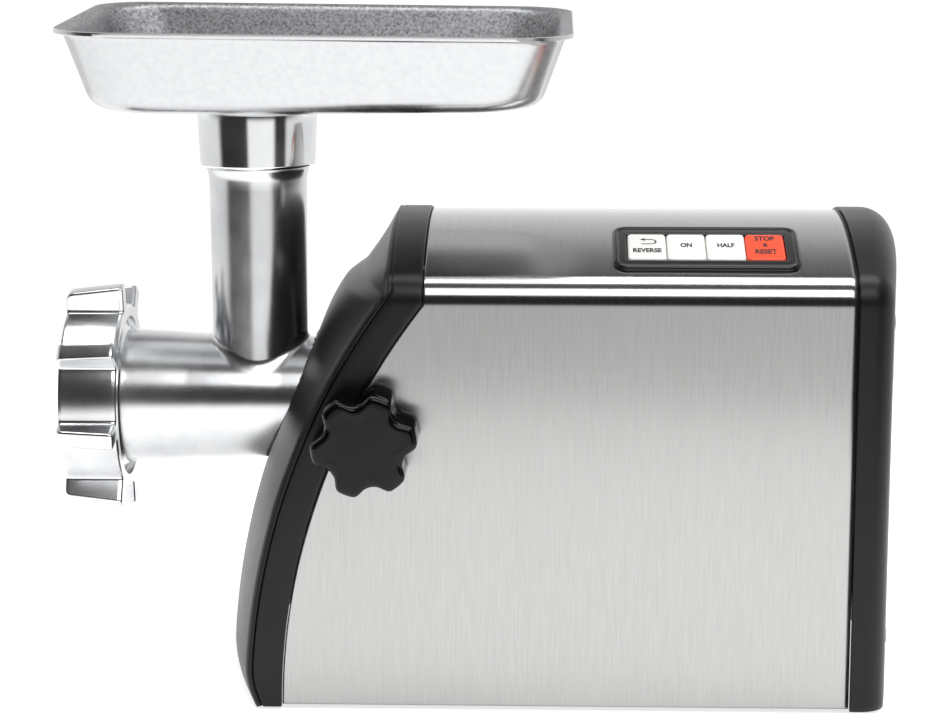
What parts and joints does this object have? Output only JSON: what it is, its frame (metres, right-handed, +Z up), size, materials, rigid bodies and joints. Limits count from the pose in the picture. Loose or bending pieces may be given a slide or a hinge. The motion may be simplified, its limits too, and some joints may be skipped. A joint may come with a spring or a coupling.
{
  "type": "electric meat grinder",
  "caption": "Electric meat grinder: steel-wrapped motor body with push keys, a side clamp knob, and a detachable cast grinding head with lobed ring and feed tray.",
  "frame": {"origin": "centre of the bounding box on the surface that the feet stand on", "axes": "+Z up; the grinding head points along -X; the clamp knob and the keys face -Y, towards the person using it"},
  "size_m": [0.4066, 0.2084, 0.3261],
  "materials": {
    "brushed_stainless": "vertically brushed sheet",
    "black_abs": "satin moulded",
    "gloss_black": "glossy moulded",
    "black_bezel": "fine satin moulded",
    "key_white": "satin gloss",
    "key_red": "satin gloss",
    "rubber_black": "matt",
    "cast_aluminium": "tumbled casting with machined faces",
    "tray_aluminium": "polished pressing",
    "rough_aluminium": "as cast",
    "machined_steel": "ground",
    "zinc_steel": "zinc plated",
    "laminated_steel": "stacked laminations",
    "copper_winding": "enamelled copper wire",
    "copper_bar": "turned copper",
    "nylon_natural": "moulded nylon",
    "carbon": "pressed carbon",
    "board_green": "coated circuit board"
  },
  "bodies": {
    "chassis": {"housing_wrap": "brushed_stainless", "front_cover": "black_abs", "rear_cover": "black_abs", "base_plate": "black_abs", "foot_front_right": "rubber_black", "foot_front_left": "rubber_black", "foot_rear_right": "rubber_black", "foot_rear_left": "rubber_black", "power_inlet": "gloss_black", "cover_screw_low_right": "zinc_steel", "cover_screw_high_right": "zinc_steel", "cover_screw_low_left": "zinc_steel", "cover_screw_high_left": "zinc_steel", "control_bezel": "black_bezel", "control_board": "board_green", "head_socket": "rough_aluminium", "gearbox_housing": "rough_aluminium", "gearbox_cover": "rough_aluminium", "gearbox_screw_1": "zinc_steel", "gearbox_screw_2": "zinc_steel", "gearbox_screw_3": "zinc_steel", "gearbox_screw_4": "zinc_steel", "output_bearing": "machined_steel", "motor_bearing_front": "machined_steel", "motor_bearing_rear": "machined_steel", "stator_core": "laminated_steel", "field_coil_right": "copper_winding", "field_coil_left": "copper_winding", "brush_right": "carbon", "brush_left": "carbon", "motor_bracket": "rough_aluminium"},
    "output_shaft": {"drive_shaft": "machined_steel", "output_gear": "machined_steel"},
    "second_layshaft": {"second_pinion_shaft": "machined_steel", "second_gear": "machined_steel"},
    "first_layshaft": {"first_pinion_shaft": "machined_steel", "first_gear": "nylon_natural"},
    "armature": {"armature_shaft": "machined_steel", "armature_core": "laminated_steel", "commutator": "copper_bar", "cooling_fan": "nylon_natural"},
    "clamp": {"clamp_pad": "nylon_natural"},
    "clamp_knob": {"knob": "gloss_black", "knob_stud": "zinc_steel"},
    "head": {"grinder_head": "cast_aluminium"},
    "tray": {"hopper_tray": "tray_aluminium"},
    "feed_screw": {"auger": "cast_aluminium", "cutting_knife": "machined_steel"},
    "plate": {"grinding_plate": "machined_steel"},
    "ring": {"locking_ring": "cast_aluminium"},
    "key_reverse": {"button_reverse": "key_white"},
    "key_on": {"button_on": "key_white"},
    "key_half": {"button_half": "key_white"},
    "key_stop": {"button_stop": "key_red"}
  },
  "joints": [
    {"name": "motor_spin", "type": "hinge", "parent": "chassis", "child": "armature", "pos_m": [0.09875, 0.01275, 0.076], "axis": [1, 0, 0], "continuous": true},
    {"name": "first_layshaft_spin", "type": "hinge", "parent": "chassis", "child": "first_layshaft", "pos_m": [0.01875, 0.04958, 0.06897], "axis": [1, 0, 0], "continuous": true},
    {"name": "second_layshaft_spin", "type": "hinge", "parent": "chassis", "child": "second_layshaft", "pos_m": [0.00875, 0.04288, 0.10268], "axis": [1, 0, 0], "continuous": true},
    {"name": "output_spin", "type": "hinge", "parent": "chassis", "child": "output_shaft", "pos_m": [-0.01125, 0.01275, 0.1344], "axis": [1, 0, 0], "continuous": true},
    {"name": "head_slide", "type": "slide", "parent": "chassis", "child": "head", "axis": [-1, 0, 0], "range_m": [0, 0.09]},
    {"name": "auger_spin", "type": "hinge", "parent": "head", "child": "feed_screw", "pos_m": [-0.12125, 0.01275, 0.1344], "axis": [1, 0, 0], "continuous": true},
    {"name": "plate_slide", "type": "slide", "parent": "head", "child": "plate", "axis": [-1, 0, 0], "range_m": [0, 0.0091]},
    {"name": "ring_turn", "type": "hinge", "parent": "plate", "child": "ring", "pos_m": [-0.18925, 0.01275, 0.1344], "axis": [-1, 0, 0], "range_deg": [0, 1080]},
    {"name": "tray_lift", "type": "slide", "parent": "head", "child": "tray", "axis": [0, 0, 1], "range_m": [0, 0.06]},
    {"name": "clamp_slide", "type": "slide", "parent": "chassis", "child": "clamp", "axis": [0, -1, 0], "range_m": [0, 0.0046]},
    {"name": "knob_turn", "type": "hinge", "parent": "clamp", "child": "clamp_knob", "pos_m": [-0.04925, -0.09225, 0.1344], "axis": [0, -1, 0], "range_deg": [0, 1080]},
    {"name": "button_reverse_press", "type": "slide", "parent": "chassis", "child": "key_reverse", "axis": [0, 0.314, -0.9494], "range_m": [0, 0.0015], "stiffness_N_per_m": 300, "springref_m": -0.001},
    {"name": "button_on_press", "type": "slide", "parent": "chassis", "child": "key_on", "axis": [0, 0.314, -0.9494], "range_m": [0, 0.0015], "stiffness_N_per_m": 300, "springref_m": -0.001},
    {"name": "button_half_press", "type": "slide", "parent": "chassis", "child": "key_half", "axis": [0, 0.314, -0.9494], "range_m": [0, 0.0015], "stiffness_N_per_m": 300, "springref_m": -0.001},
    {"name": "button_stop_press", "type": "slide", "parent": "chassis", "child": "key_stop", "axis": [0, 0.314, -0.9494], "range_m": [0, 0.0015], "stiffness_N_per_m": 300, "springref_m": -0.001}
  ],
  "couplings": [
    {"joint": "first_layshaft_spin", "follows": "motor_spin", "ratio": -0.2},
    {"joint": "second_layshaft_spin", "follows": "motor_spin", "ratio": 0.05},
    {"joint": "output_spin", "follows": "motor_spin", "ratio": -0.0125},
    {"joint": "auger_spin", "follows": "motor_spin", "ratio": -0.0125},
    {"joint": "plate_slide", "follows": "ring_turn", "m_per_rad": 0.00047746},
    {"joint": "clamp_slide", "follows": "knob_turn", "m_per_rad": 0.00023873}
  ]
}
